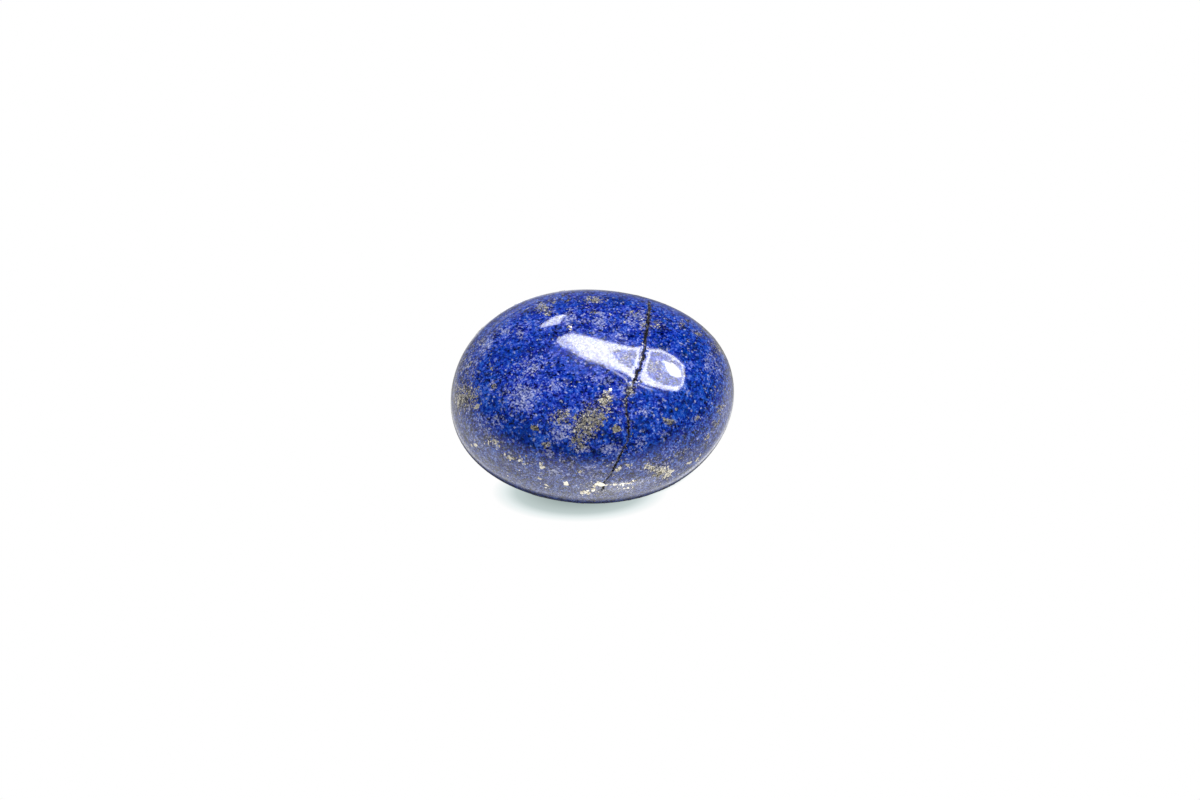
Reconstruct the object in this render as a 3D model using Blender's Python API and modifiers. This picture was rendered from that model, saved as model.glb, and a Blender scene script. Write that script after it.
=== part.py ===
# Lapis lazuli cabochon: one piece of stone, ground to an oval dome on a rounded belly with a small
# flat base, and crossed by one open fissure.
# Metres, +Z up. The origin is the middle of the flat base, +X runs along the stone.
import math

import bmesh
import bpy
from mathutils import Vector
from mathutils.bvhtree import BVHTree

# Driving dimensions
LENGTH = 0.0200
WIDTH = 0.0160
HEIGHT = 0.0090
GIRDLE_HEIGHT = 0.0033
BASE_SHARE = 0.78

# How full the curves are: 2 is an ellipse, more is flatter on top and fuller at the shoulder
DOME_FULLNESS = 3.4
BELLY_FULLNESS = 2.9

# The oval was ground by hand: shallow lobes round it, as count, depth as a share of the radius, and turn
LOBES = (
    (3, 0.0073, math.radians(17.0)),
    (4, 0.0107, math.radians(29.8)),
)

# Facets round the oval, up the dome and down the belly
ROUND_STEPS = 96
DOME_STEPS = 20
BELLY_STEPS = 8

# The fissure runs over the dome from the far shoulder to the near side of the girdle: places in
# millimetres along its line, and the width of the open gap there. Each is laid on the surface.
MM = 0.001
FISSURE = (
    ((3.91, 5.67, 7.31), 0.10),
    ((3.96, 4.74, 7.99), 0.18),
    ((3.92, 3.85, 8.40), 0.20),
    ((3.87, 3.05, 8.64), 0.26),
    ((3.81, 2.25, 8.78), 0.26),
    ((3.75, 1.44, 8.86), 0.20),
    ((3.63, 0.49, 8.91), 0.16),
    ((3.63, -0.17, 8.91), 0.16),
    ((3.50, -0.83, 8.90), 0.14),
    ((3.24, -1.42, 8.90), 0.16),
    ((3.19, -1.80, 8.88), 0.12),
    ((3.03, -2.20, 8.86), 0.14),
    ((2.87, -2.74, 8.81), 0.20),
    ((2.69, -3.28, 8.75), 0.20),
    ((2.60, -3.92, 8.61), 0.18),
    ((2.67, -4.51, 8.41), 0.16),
    ((2.82, -5.31, 8.00), 0.14),
    ((2.86, -5.81, 7.64), 0.16),
    ((2.62, -6.27, 7.29), 0.12),
    ((2.23, -6.87, 6.66), 0.12),
    ((1.66, -7.51, 5.59), 0.10),
    ((1.16, -7.84, 4.65), 0.10),
    ((1.04, -7.94, 4.07), 0.08),
)
FISSURE_SHORTEST_STEP = 0.0004

# Pits where grains broke out along the fissure: place in millimetres, and radius of the hollow
PITS = (
    ((3.72, 2.86, 8.68), 0.24),
    ((3.92, 2.02, 8.80), 0.17),
    ((2.98, -2.98, 8.78), 0.20),
    ((2.48, -4.22, 8.52), 0.18),
)
PIT_SINK_SHARE = 0.45

STONE_COLOUR = (0.018, 0.035, 0.34, 1.0)
STONE_ROUGHNESS = 0.12


def clear_scene():
    for thing in list(bpy.data.objects):
        bpy.data.objects.remove(thing, do_unlink=True)


def new_collection(name):
    collection = bpy.data.collections.new(name)
    bpy.context.scene.collection.children.link(collection)
    return collection


def new_object(name, data, collection):
    thing = bpy.data.objects.new(name, data)
    collection.objects.link(thing)
    return thing


def polished_stone():
    material = bpy.data.materials.new("polished_lapis")
    material.use_nodes = True
    shader = material.node_tree.nodes["Principled BSDF"]
    shader.inputs["Base Color"].default_value = STONE_COLOUR
    shader.inputs["Roughness"].default_value = STONE_ROUGHNESS
    shader.inputs["Metallic"].default_value = 0.0
    return material


def bulge(share, fullness):
    """Height of a full curve over its middle plane, for a distance out from its axis, both 0 to 1."""
    return math.sqrt(max(1.0 - share**fullness, 0.0))


def stone_profile():
    """The right-hand outline from the top of the dome to the middle of the base, for a unit radius."""
    points = []
    for step in range(DOME_STEPS + 1):
        share = math.sin(math.pi / 2 * step / DOME_STEPS)
        rise = (HEIGHT - GIRDLE_HEIGHT) * bulge(share, DOME_FULLNESS)
        points.append((share, GIRDLE_HEIGHT + rise))
    belly_depth = GIRDLE_HEIGHT / bulge(BASE_SHARE, BELLY_FULLNESS)
    base_angle = math.asin(BASE_SHARE)
    for step in range(1, BELLY_STEPS + 1):
        angle = math.pi / 2 + (base_angle - math.pi / 2) * step / BELLY_STEPS
        share = math.sin(angle)
        points.append((share, GIRDLE_HEIGHT - belly_depth * bulge(share, BELLY_FULLNESS)))
    points[-1] = (BASE_SHARE, 0.0)
    points.append((0.0, 0.0))
    return points


def turned_body(collection):
    """The profile turned round Z, as a round body of radius half LENGTH."""
    mesh = bpy.data.meshes.new("profile")
    points = [(share * LENGTH / 2, 0.0, height) for share, height in stone_profile()]
    edges = [(i, i + 1) for i in range(len(points) - 1)]
    mesh.from_pydata(points, edges, [])
    profile = new_object("profile", mesh, collection)
    screw = profile.modifiers.new("turn", "SCREW")
    screw.axis = "Z"
    screw.angle = 2 * math.pi
    screw.steps = ROUND_STEPS
    screw.render_steps = ROUND_STEPS
    screw.use_merge_vertices = True
    screw.merge_threshold = 0.000001
    bpy.context.view_layer.update()
    evaluated = profile.evaluated_get(bpy.context.evaluated_depsgraph_get())
    body = bpy.data.meshes.new_from_object(evaluated)
    bpy.data.objects.remove(profile)
    return body


def hand_ground_oval(body):
    """Gives the round body its lobes, then brings it to LENGTH and WIDTH about the origin."""
    for vertex in body.vertices:
        angle = math.atan2(vertex.co.y, vertex.co.x)
        swell = 1.0 + sum(depth * math.cos(count * (angle - turn)) for count, depth, turn in LOBES)
        vertex.co.x *= swell
        vertex.co.y *= swell
    for axis, wanted in ((0, LENGTH), (1, WIDTH)):
        low = min(vertex.co[axis] for vertex in body.vertices)
        high = max(vertex.co[axis] for vertex in body.vertices)
        for vertex in body.vertices:
            vertex.co[axis] = (vertex.co[axis] - (low + high) / 2) * wanted / (high - low)


def surface_tree(body):
    form = bmesh.new()
    form.from_mesh(body)
    tree = BVHTree.FromBMesh(form)
    form.free()
    return tree


def fissure_line(tree):
    """The fissure's points on the surface in short steps, each with the half width of the gap."""
    line = []
    for (start, start_width), (end, end_width) in zip(FISSURE, FISSURE[1:]):
        first = Vector(start) * MM
        last = Vector(end) * MM
        pieces = max(1, round((last - first).length / FISSURE_SHORTEST_STEP))
        for piece in range(pieces):
            share = piece / pieces
            width = start_width + (end_width - start_width) * share
            line.append((first.lerp(last, share), width * MM / 2))
    end, end_width = FISSURE[-1]
    line.append((Vector(end) * MM, end_width * MM / 2))
    return [(tree.find_nearest(place)[0], half_width) for place, half_width in line]


def fissure_cutter(tree, collection):
    """A thin tube laid along the fissure with its middle on the surface."""
    line = fissure_line(tree)
    widest = max(half_width for _, half_width in line)
    curve = bpy.data.curves.new("fissure_line", "CURVE")
    curve.dimensions = "3D"
    curve.bevel_depth = widest
    curve.bevel_resolution = 1
    curve.use_fill_caps = True
    spline = curve.splines.new("POLY")
    spline.points.add(len(line) - 1)
    for point, (place, half_width) in zip(spline.points, line):
        point.co = (*place, 1.0)
        point.radius = half_width / widest
    guide = new_object("fissure_line", curve, collection)
    bpy.context.view_layer.update()
    evaluated = guide.evaluated_get(bpy.context.evaluated_depsgraph_get())
    mesh = bpy.data.meshes.new_from_object(evaluated)
    form = bmesh.new()
    form.from_mesh(mesh)
    bmesh.ops.remove_doubles(form, verts=form.verts, dist=0.000001)
    bmesh.ops.recalc_face_normals(form, faces=form.faces)
    form.to_mesh(mesh)
    form.free()
    cutter = new_object("fissure_cutter", mesh, collection)
    cutter.matrix_world = guide.matrix_world
    bpy.data.objects.remove(guide)
    return cutter


def pit_cutter(number, place, radius, tree, collection):
    """A small ball that dips into the surface beside the fissure."""
    mesh = bpy.data.meshes.new(f"pit_cutter_{number}")
    form = bmesh.new()
    bmesh.ops.create_icosphere(form, subdivisions=2, radius=radius * MM)
    form.to_mesh(mesh)
    form.free()
    ball = new_object(f"pit_cutter_{number}", mesh, collection)
    spot, normal, _, _ = tree.find_nearest(Vector(place) * MM)
    ball.location = spot + normal * radius * MM * PIT_SINK_SHARE
    return ball


def hide_cutter(cutter):
    cutter.hide_render = True
    cutter.display_type = "WIRE"


def cut_away(stone, cutter):
    cut = stone.modifiers.new(cutter.name, "BOOLEAN")
    cut.operation = "DIFFERENCE"
    cut.solver = "EXACT"
    cut.object = cutter


def make_stone():
    parts = new_collection("Lapis lazuli cabochon")
    cutters = new_collection("Cutters")
    body = turned_body(parts)
    hand_ground_oval(body)
    tree = surface_tree(body)
    stone = new_object("lapis_stone", body, parts)
    stone.data.name = "lapis_stone"
    stone.data.materials.append(polished_stone())
    tools = [fissure_cutter(tree, cutters)]
    for number, (place, radius) in enumerate(PITS, start=1):
        tools.append(pit_cutter(number, place, radius, tree, cutters))
    for tool in tools:
        hide_cutter(tool)
        cut_away(stone, tool)
    stone.data.shade_smooth()
    stone.data.set_sharp_from_angle(angle=math.radians(30.0))
    return stone


clear_scene()
make_stone()
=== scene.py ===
# %% [markdown]
# # A lapis lazuli cabochon
# The real object is a single piece of rock. A cutter saws it to an oval, grinds a dome on it and
# polishes it until it shines like glass. Nothing is glued or set, so this lesson builds one stone
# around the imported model, and everything else here is colour, polish and light.
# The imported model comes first, because its box is the one that the fine stone has to keep.

# %% Load the frame
import math

import bmesh
import bpy
import numpy as np
from mathutils import Matrix, Vector, noise
from mathutils.bvhtree import BVHTree


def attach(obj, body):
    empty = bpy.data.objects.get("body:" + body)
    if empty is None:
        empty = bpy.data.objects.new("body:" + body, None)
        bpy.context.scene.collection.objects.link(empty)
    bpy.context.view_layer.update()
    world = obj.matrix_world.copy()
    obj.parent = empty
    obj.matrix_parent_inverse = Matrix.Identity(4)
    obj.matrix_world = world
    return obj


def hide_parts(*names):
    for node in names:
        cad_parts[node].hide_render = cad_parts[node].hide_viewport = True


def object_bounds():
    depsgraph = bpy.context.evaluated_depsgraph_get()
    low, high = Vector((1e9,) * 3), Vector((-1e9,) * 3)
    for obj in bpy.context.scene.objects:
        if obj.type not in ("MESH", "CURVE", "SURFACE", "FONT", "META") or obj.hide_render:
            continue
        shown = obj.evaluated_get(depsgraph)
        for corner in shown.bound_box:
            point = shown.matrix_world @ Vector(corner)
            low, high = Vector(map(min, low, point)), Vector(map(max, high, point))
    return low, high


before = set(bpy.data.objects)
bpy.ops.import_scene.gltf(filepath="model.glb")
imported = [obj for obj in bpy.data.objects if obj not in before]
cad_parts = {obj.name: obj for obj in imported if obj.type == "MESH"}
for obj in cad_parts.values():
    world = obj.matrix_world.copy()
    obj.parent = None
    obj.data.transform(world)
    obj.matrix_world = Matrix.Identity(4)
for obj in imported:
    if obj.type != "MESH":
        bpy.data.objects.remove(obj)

cad_low, cad_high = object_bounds()
MM = 0.001
LENGTH, WIDTH, HEIGHT = (side / MM for side in cad_high - cad_low)
print(f"the packed stone is {LENGTH:.1f} x {WIDTH:.1f} x {HEIGHT:.1f} mm")

# %% [markdown]
# ## Camera
# A small stone is photographed from about a hand's span away with a long lens. The camera could be
# aimed by eye, but the outline in the picture fixes it: it looks down at 57 degrees, turned a little to
# the right, and leans slightly. A matrix made from three perpendicular axes holds all of that at once.

# %% Camera
CAMERA_ELEVATION = math.radians(57.0)
CAMERA_AZIMUTH = math.radians(3.5)
CAMERA_LEAN = math.radians(3.4)
CAMERA_DISTANCE = 180.0
PIXELS_PER_MM = 14.25
PICTURE_WIDTH, PICTURE_HEIGHT = 1200, 800
STONE_MIDDLE_PIXEL = (591.8, 389.2)
SENSOR_WIDTH = 36.0

back = np.array([
    math.cos(CAMERA_ELEVATION) * math.sin(CAMERA_AZIMUTH),
    -math.cos(CAMERA_ELEVATION) * math.cos(CAMERA_AZIMUTH),
    math.sin(CAMERA_ELEVATION),
])
level = np.array([math.cos(CAMERA_AZIMUTH), math.sin(CAMERA_AZIMUTH), 0.0])
steep = np.cross(back, level)
right = level * math.cos(CAMERA_LEAN) - steep * math.sin(CAMERA_LEAN)
up = level * math.sin(CAMERA_LEAN) + steep * math.cos(CAMERA_LEAN)
pixels_right = STONE_MIDDLE_PIXEL[0] - PICTURE_WIDTH / 2
pixels_up = PICTURE_HEIGHT / 2 - STONE_MIDDLE_PIXEL[1]
aim = np.array([0.0, 0.0, HEIGHT / 2]) - (right * pixels_right + up * pixels_up) / PIXELS_PER_MM
eye = aim + back * CAMERA_DISTANCE
focal_pixels = PIXELS_PER_MM * CAMERA_DISTANCE


def show(name, data):
    """A new object that holds the data, put in the scene."""
    shown = bpy.data.objects.new(name, data)
    bpy.context.scene.collection.objects.link(shown)
    return shown


lens = bpy.data.cameras.new("camera")
lens.sensor_width = SENSOR_WIDTH
lens.lens = focal_pixels * SENSOR_WIDTH / PICTURE_WIDTH
lens.clip_start = 0.01
camera = show("camera", lens)
pose = np.identity(4)
pose[:3, 0], pose[:3, 1], pose[:3, 2], pose[:3, 3] = right, up, back, eye * MM
camera.matrix_world = Matrix(pose)
bpy.context.scene.camera = camera
bpy.context.scene.view_settings.view_transform = "Standard"
print(f"a {lens.lens:.0f} mm lens, {CAMERA_DISTANCE:.0f} mm from the stone")


def to_pixels(points):
    """Where points in millimetres show in the picture, as columns x and y."""
    from_eye = points - eye
    depth = -(from_eye @ back)
    x = PICTURE_WIDTH / 2 + focal_pixels * (from_eye @ right) / depth
    y = PICTURE_HEIGHT / 2 - focal_pixels * (from_eye @ up) / depth
    return np.stack([x, y], axis=1)


def sight_line(x, y):
    """The direction from the eye through a pixel."""
    line = right * (x - PICTURE_WIDTH / 2) - up * (y - PICTURE_HEIGHT / 2) - back * focal_pixels
    return line / np.linalg.norm(line)


# %% [markdown]
# ## The stone's form
# A cabochon is an oval with a full dome above its widest line, the girdle, and a rounded belly below
# it that ends in a flat base. A sphere from the menu has poles where its faces pinch together. Here
# a cube is cut into even squares and each corner is pushed out from the stone's core until it meets
# the cabochon's own formula, so that the mesh is even all over.

# %% Form
GIRDLE_HEIGHT = 3.3
BASE_SHARE = 0.78
DOME_FULLNESS = 3.4
BELLY_FULLNESS = 2.9
LOBES = ((3, 0.0073, 17.0), (4, 0.0107, 29.8))
BASE_EDGE_SHARPNESS = 45.0
BELLY_DEPTH = GIRDLE_HEIGHT / math.sqrt(1.0 - BASE_SHARE**BELLY_FULLNESS)
CUBE_CUTS = 103
HALVINGS = 48


def cabochon(directions):
    """Points in millimetres on the smooth stone, one along each direction from its core."""
    outward = np.hypot(directions[:, 0] * 2 / LENGTH, directions[:, 1] * 2 / WIDTH)
    rise = directions[:, 2]
    dome = rise >= 0
    depth = np.where(dome, HEIGHT - GIRDLE_HEIGHT, BELLY_DEPTH)
    fullness = np.where(dome, DOME_FULLNESS, BELLY_FULLNESS)
    short, far = np.zeros(len(rise)), np.full(len(rise), LENGTH)
    for _ in range(HALVINGS):
        middle = (short + far) / 2
        inside = (middle * outward) ** fullness + (middle * rise / depth) ** 2 < 1
        short, far = np.where(inside, middle, short), np.where(inside, far, middle)
    to_base = np.where(dome, LENGTH * 9, GIRDLE_HEIGHT / np.maximum(-rise, 1e-9))
    reach = (short**-BASE_EDGE_SHARPNESS + to_base**-BASE_EDGE_SHARPNESS) ** (-1 / BASE_EDGE_SHARPNESS)
    points = directions * reach[:, None]
    angle = np.arctan2(points[:, 1] / WIDTH, points[:, 0] / LENGTH)
    swell = 1 + sum(share * np.cos(count * (angle - math.radians(turn))) for count, share, turn in LOBES)
    points[:, :2] *= swell[:, None]
    points[:, 2] += GIRDLE_HEIGHT
    return points


def unit(vectors):
    return vectors / np.linalg.norm(vectors, axis=-1, keepdims=True)


def positions(form):
    return np.array([vertex.co for vertex in form.verts])


def even_cube():
    """A finely squared cube, bulged so that its squares stay even on the stone."""
    form = bmesh.new()
    bmesh.ops.create_cube(form, size=2.0)
    bmesh.ops.subdivide_edges(form, edges=form.edges, cuts=CUBE_CUTS, use_grid_fill=True)
    bulged = np.tan(positions(form) * math.pi / 4)
    for vertex, place in zip(form.verts, unit(bulged)):
        vertex.co = place
    return form


STRETCH = np.array([LENGTH / 2, WIDTH / 2, HEIGHT / 2])
cage = even_cube()
first_points = cabochon(unit(positions(cage) * STRETCH))
box_low, box_high = first_points.min(axis=0), first_points.max(axis=0)
cad_box_low, cad_box_high = np.array(cad_low) / MM, np.array(cad_high) / MM


def on_cabochon(places):
    """The stone's points for places on the cage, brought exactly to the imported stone's box."""
    share = (cabochon(unit(places * STRETCH)) - box_low) / (box_high - box_low)
    return cad_box_low + share * (cad_box_high - cad_box_low)


print(f"the cage has {len(cage.faces)} squares")

# %% [markdown]
# ## Finding a spot on the stone
# The crack, the pyrite grains and the glints are all placed by where they show in the picture. A sight
# line from the eye through that pixel is followed until it meets the smooth stone, which gives the
# spot and the way the surface faces there. A tree of the stone's faces makes that search fast.

# %% Sight lines


def smooth_stone():
    """The smooth stone from the cage as it is now: a mesh in millimetres, its points and normals."""
    form = cage.copy()
    points = on_cabochon(positions(cage))
    for vertex, place in zip(form.verts, points):
        vertex.co = place
    form.normal_update()
    return form, points, np.array([vertex.normal for vertex in form.verts])


form, coarse_points, coarse_normals = smooth_stone()
coarse_faces = [[vertex.index for vertex in face.verts] for face in form.faces]
face_tree = BVHTree.FromBMesh(form)
form.free()


def meet_stone(x, y):
    """The spot where the sight line through a pixel meets the stone, and the outward direction there."""
    spot, _, face, _ = face_tree.ray_cast(Vector(eye), Vector(sight_line(x, y)))
    if spot is None:
        return None, None
    corners = coarse_faces[face]
    spot = np.array(spot)
    weights = 1 / (np.linalg.norm(coarse_points[corners] - spot, axis=1) + 1e-6)
    return spot, unit(weights @ coarse_normals[corners])


print("the middle of the picture meets the stone at", meet_stone(600, 400)[0].round(2), "mm")

# %% [markdown]
# ## The fissure's line
# The crack wanders over the dome. It could be drawn as a dark line in the material, but light catches
# its lips, so it has to be a real groove. Its places and its width are in pixels of the picture,
# and sight lines lay them on the stone. Between them the line is broken into short jags by a seeded
# random throw.

# %% Fissure line
FISSURE = (
    (648.9, 300.6, 0.9), (649.4, 303.0, 2.4), (649.7, 307.0, 3.3), (649.2, 311.0, 3.2), (648.3, 314.0, 3.2),
    (648.7, 318.0, 2.8), (648.0, 321.5, 3.3), (648.0, 324.5, 2.4), (647.5, 327.0, 2.6), (646.9, 330.0, 2.8),
    (646.5, 333.5, 3.8), (645.4, 336.5, 2.9), (644.9, 340.0, 2.2), (645.3, 343.5, 1.6), (645.0, 347.0, 1.8),
    (643.6, 350.5, 2.6), (643.0, 353.0, 1.8), (643.9, 355.5, 2.8), (642.8, 358.5, 2.4), (641.6, 361.0, 1.4),
    (640.6, 363.5, 1.7), (640.6, 367.0, 1.2), (640.1, 369.3, 1.5), (638.2, 369.8, 2.6), (636.7, 372.0, 2.8),
    (636.7, 374.5, 1.4), (636.2, 377.0, 1.6), (634.7, 379.5, 1.9), (633.4, 381.8, 1.8), (632.8, 384.0, 0.9),
    (631.0, 388.0, 0.9), (628.4, 393.0, 1.4), (627.0, 396.5, 2.0), (626.7, 400.0, 1.3), (626.5, 404.0, 1.9),
    (626.4, 409.0, 1.3), (626.6, 413.0, 1.8), (627.6, 418.0, 1.3), (628.6, 424.0, 1.4), (628.7, 430.0, 1.2),
    (629.1, 435.0, 2.0), (628.0, 440.0, 1.2), (625.9, 444.5, 1.3), (624.0, 448.5, 1.2), (621.6, 452.5, 1.7),
    (620.1, 456.0, 2.2), (618.8, 459.0, 1.6), (617.4, 462.0, 2.2), (615.8, 465.0, 1.6), (614.0, 468.0, 1.5),
    (612.6, 471.0, 1.3), (611.0, 474.0, 1.0), (608.8, 477.0, 1.2), (607.0, 479.5, 1.6), (604.8, 481.2, 1.3),
    (603.5, 484.2, 1.4), (603.2, 487.0, 2.2), (602.4, 489.5, 1.4), (600.0, 492.5, 0.6), (596.0, 497.0, 0.6),
)
JAG_LENGTH = 0.11
JAG_SWING = 0.022
JAG_WIDTHS = 0.75, 1.3


def laid_on_stone(route):
    """The route's places on the stone and its widths, both in millimetres."""
    places = np.array([meet_stone(x, y)[0] for x, y, _ in route])
    return places, np.array([width for _, _, width in route]) / PIXELS_PER_MM


def jagged(places, widths, rng):
    """The route in short steps, each thrown a little to one side: places and half widths."""
    steps_places, halves = [], []
    for first, last, first_width, last_width in zip(places, places[1:], widths, widths[1:]):
        steps = max(1, round(np.linalg.norm(last - first) / JAG_LENGTH))
        for step in range(steps):
            share = step / steps
            throw = rng.normal(0.0, JAG_SWING, 3)
            steps_places.append(first + (last - first) * share + throw)
            width = first_width + (last_width - first_width) * share
            halves.append(width / 2 * rng.uniform(*JAG_WIDTHS))
    return np.array(steps_places + [places[-1]]), np.array(halves + [widths[-1] / 2])


fissure_places, fissure_halves = jagged(*laid_on_stone(FISSURE), np.random.default_rng(11))


def distance_to_line(points, places, halves):
    """For each point, its distance to the line and the line's half width at the nearest spot."""
    nearest = np.full(len(points), 1e9)
    width = np.zeros(len(points))
    for start, end, start_half, end_half in zip(places, places[1:], halves, halves[1:]):
        along = end - start
        share = np.clip((points - start) @ along / (along @ along), 0, 1)
        gap = np.linalg.norm(points - start - share[:, None] * along, axis=1)
        closer = gap < nearest
        nearest = np.where(closer, gap, nearest)
        width = np.where(closer, start_half + (end_half - start_half) * share, width)
    return nearest, width


print(f"the fissure has {len(fissure_places)} jags")

# %% [markdown]
# ## Finer squares beside the fissure
# Only the strip beside the crack needs squares of a few hundredths of a millimetre. Cutting the
# whole stone that fine would take millions of faces, so just the edges near the line are divided,
# twice, and the new corners are put back on the smooth stone.

# %% Refine
FINE_STRIPS = (0.55, 0.36)

for strip in FINE_STRIPS:
    gap, _ = distance_to_line(on_cabochon(positions(cage)), fissure_places, fissure_halves)
    near = {vertex for vertex, distance in zip(cage.verts, gap) if distance < strip}
    edges = [edge for edge in cage.edges if edge.verts[0] in near and edge.verts[1] in near]
    bmesh.ops.subdivide_edges(cage, edges=edges, cuts=1, use_grid_fill=True)
bmesh.ops.triangulate(cage, faces=[face for face in cage.faces if len(face.verts) > 4])
form, smooth_points, smooth_normals = smooth_stone()
cage.free()
print(f"the stone has {len(form.verts)} corners and {len(form.faces)} faces")

# %% [markdown]
# ## Carving
# Three things break the smooth form: the open crack with its rounded lips, four pits where grains
# fell out beside it, and the faint waves that hand polishing leaves, which make the edges of a
# reflection wander. All are depths measured inward along the surface's own direction.

# %% Carve
LIP_DEPTH, LIP_REACH = 0.022, 0.24
GROOVE_DEPTH_PER_WIDTH = 1.1
PITS = (
    ((3.72, 2.86, 8.68), 0.24),
    ((3.92, 2.02, 8.80), 0.17),
    ((2.98, -2.98, 8.78), 0.20),
    ((2.48, -4.22, 8.52), 0.18),
)
PIT_DEPTH_SHARE = 0.5
PIT_RIM = 1.2
WAVE_HEIGHT, WAVE_LENGTH = 0.006, 2.6
WAVES_START = 0.6
FULL_LIP = 0.1
GROOVE_RIM = 1.15
THINNEST_GROOVE = 0.01


def ramp(value):
    """0 below 0, 1 above 1, and an easy slope between."""
    value = np.clip(value, 0, 1)
    return value * value * (3 - 2 * value)


fissure_gap, fissure_half = distance_to_line(smooth_points, fissure_places, fissure_halves)
inward = LIP_DEPTH * np.exp(-((fissure_gap / LIP_REACH) ** 2)) * np.minimum(fissure_half / FULL_LIP, 1)
across_groove = fissure_gap / np.maximum(fissure_half, THINNEST_GROOVE)
inward += 2 * fissure_half * GROOVE_DEPTH_PER_WIDTH * ramp(GROOVE_RIM - across_groove)
for place, radius in PITS:
    spread = np.linalg.norm(smooth_points - np.array(place), axis=1) / radius
    inward += radius * PIT_DEPTH_SHARE * ramp(PIT_RIM - spread)
waves = np.array([noise.noise(Vector(place) / WAVE_LENGTH) for place in smooth_points])
above_base = ramp(smooth_points[:, 2] / WAVES_START)
inward += WAVE_HEIGHT * (waves + 1) * above_base

for vertex, place, normal, depth in zip(form.verts, smooth_points, smooth_normals, inward):
    vertex.co = (place - normal * depth) * MM
stone_mesh = bpy.data.meshes.new("polished_stone")
form.to_mesh(stone_mesh)
form.free()
stone_mesh.shade_smooth()
stone = show("polished_stone", stone_mesh)
print(f"the deepest spot of the fissure is {inward.max():.2f} mm down")

# %% [markdown]
# ## Where the minerals lie
# Lapis is a mixture: blue lazurite, white calcite, grey-brown rock and gold pyrite. Where each lies is
# painted as numbers on the mesh's corners, one soft spot for each patch that the picture shows. A
# spot is given by its place in the picture, its half width and half height in pixels, its turn in
# degrees and its strength, and it is laid on the side that faces the camera. The unseen side gets
# seeded spots of its own.

# %% Spots
SEEN_FADE = 0.12
SPOT_FIRMNESS = 2.6
SMALLEST_HIDDEN_SPOT = 0.4
HIDDEN_STRETCH, HIDDEN_STRENGTH = (0.5, 1.5), (0.4, 1.0)

pixels = to_pixels(smooth_points)
facing = (smooth_normals * unit(eye - smooth_points)).sum(axis=1)
seen = ramp(facing / SEEN_FADE)


def soft_spot(spread):
    """1 in the middle of a spot, still high at its shoulder, and about 0 from its edge on."""
    return np.exp(-(spread**SPOT_FIRMNESS))


def spots(patches):
    """One number per corner: how far it lies within any of the patches."""
    field = np.zeros(len(smooth_points))
    for x, y, half_width, half_height, turn, strength in patches:
        across, down = pixels[:, 0] - x, pixels[:, 1] - y
        cosine, sine = math.cos(math.radians(turn)), math.sin(math.radians(turn))
        first = (across * cosine + down * sine) / half_width
        second = (down * cosine - across * sine) / half_height
        field = np.maximum(field, strength * soft_spot(np.hypot(first, second)) * seen)
    return field


def hidden_spots(count, seed, largest):
    """Seeded spots for the side that the picture doesn't show, with reaches in millimetres."""
    rng = np.random.default_rng(seed)
    field = np.zeros(len(smooth_points))
    for _ in range(count):
        middle = smooth_points[rng.integers(len(smooth_points))]
        reach = rng.uniform(SMALLEST_HIDDEN_SPOT, largest) * rng.uniform(*HIDDEN_STRETCH, 3)
        spread = np.linalg.norm((smooth_points - middle) / reach, axis=1)
        strength = rng.uniform(*HIDDEN_STRENGTH)
        field = np.maximum(field, strength * soft_spot(spread) * (1 - seen))
    return field


def store(mesh, name, values):
    """Keep one number for each corner of a mesh, under a name that a material can read."""
    layer = mesh.attributes.new(name, "FLOAT", "POINT")
    layer.data.foreach_set("value", np.asarray(values, dtype=np.float32))


def paint(name, values):
    store(stone_mesh, name, values)
    print(f"{name}: {100 * (values > 0.3).mean():.0f}% of the corners")


# %% Rock
ROCK_PATCHES = (
    (588, 422, 15, 27, 28, 1.0), (562, 416, 13, 9, -20, 0.8), (606, 400, 8, 12, 25, 0.95),
    (580, 444, 9, 8, 0, 0.8), (569, 460, 12, 8, 10, 0.55), (465, 398, 15, 17, 35, 0.9),
    (463, 366, 9, 16, 20, 0.5), (473, 347, 6, 7, 0, 0.6), (481, 342, 5, 4, -20, 0.75),
    (545, 310, 10, 6, 15, 0.85), (553, 301, 5, 3, 0, 0.6), (594, 300, 13, 5, 0, 0.8),
    (593, 312, 7, 4, 0, 0.6), (584, 321, 5, 4, 0, 0.6), (612, 322, 5, 4, 0, 0.55),
    (644, 326, 5, 5, 0, 0.7), (656, 325, 7, 5, 0, 0.6), (682, 324, 6, 5, 0, 0.7),
    (698, 334, 7, 3, 20, 0.7), (716, 347, 4, 12, -45, 0.75), (722, 350, 1.8, 16, -38, 1.0),
    (732, 376, 2.5, 14, -12, 0.8), (708, 332, 1.5, 10, -52, 0.8), (493, 385, 5, 6, 0, 0.85),
    (492, 367, 5, 6, 0, 0.5), (534, 427, 5, 4, 0, 0.7), (547, 445, 6, 5, 0, 0.85),
    (565, 381, 6, 5, 0, 0.6), (618, 429, 6, 4, 20, 0.85), (669, 421, 8, 6, 15, 0.85),
    (697, 418, 6, 4, 0, 0.6), (720, 409, 6, 6, 30, 0.6), (716, 425, 6, 8, 30, 0.5),
    (658, 470, 18, 11, 10, 0.75), (680, 455, 20, 7, -25, 0.5), (492, 441, 16, 7, 15, 0.6),
    (520, 460, 22, 7, 15, 0.5), (618, 468, 8, 5, 0, 0.5), (591, 487, 14, 8, -15, 0.6),
    (630, 391, 9, 7, 0, 0.8), (622, 405, 6, 9, 0, 0.7), (627, 358, 9, 6, 10, 0.75),
    (655, 367, 10, 9, 0, 0.7),
)
paint("rock_patch", spots(ROCK_PATCHES) + hidden_spots(count=60, seed=3, largest=1.3))

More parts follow.
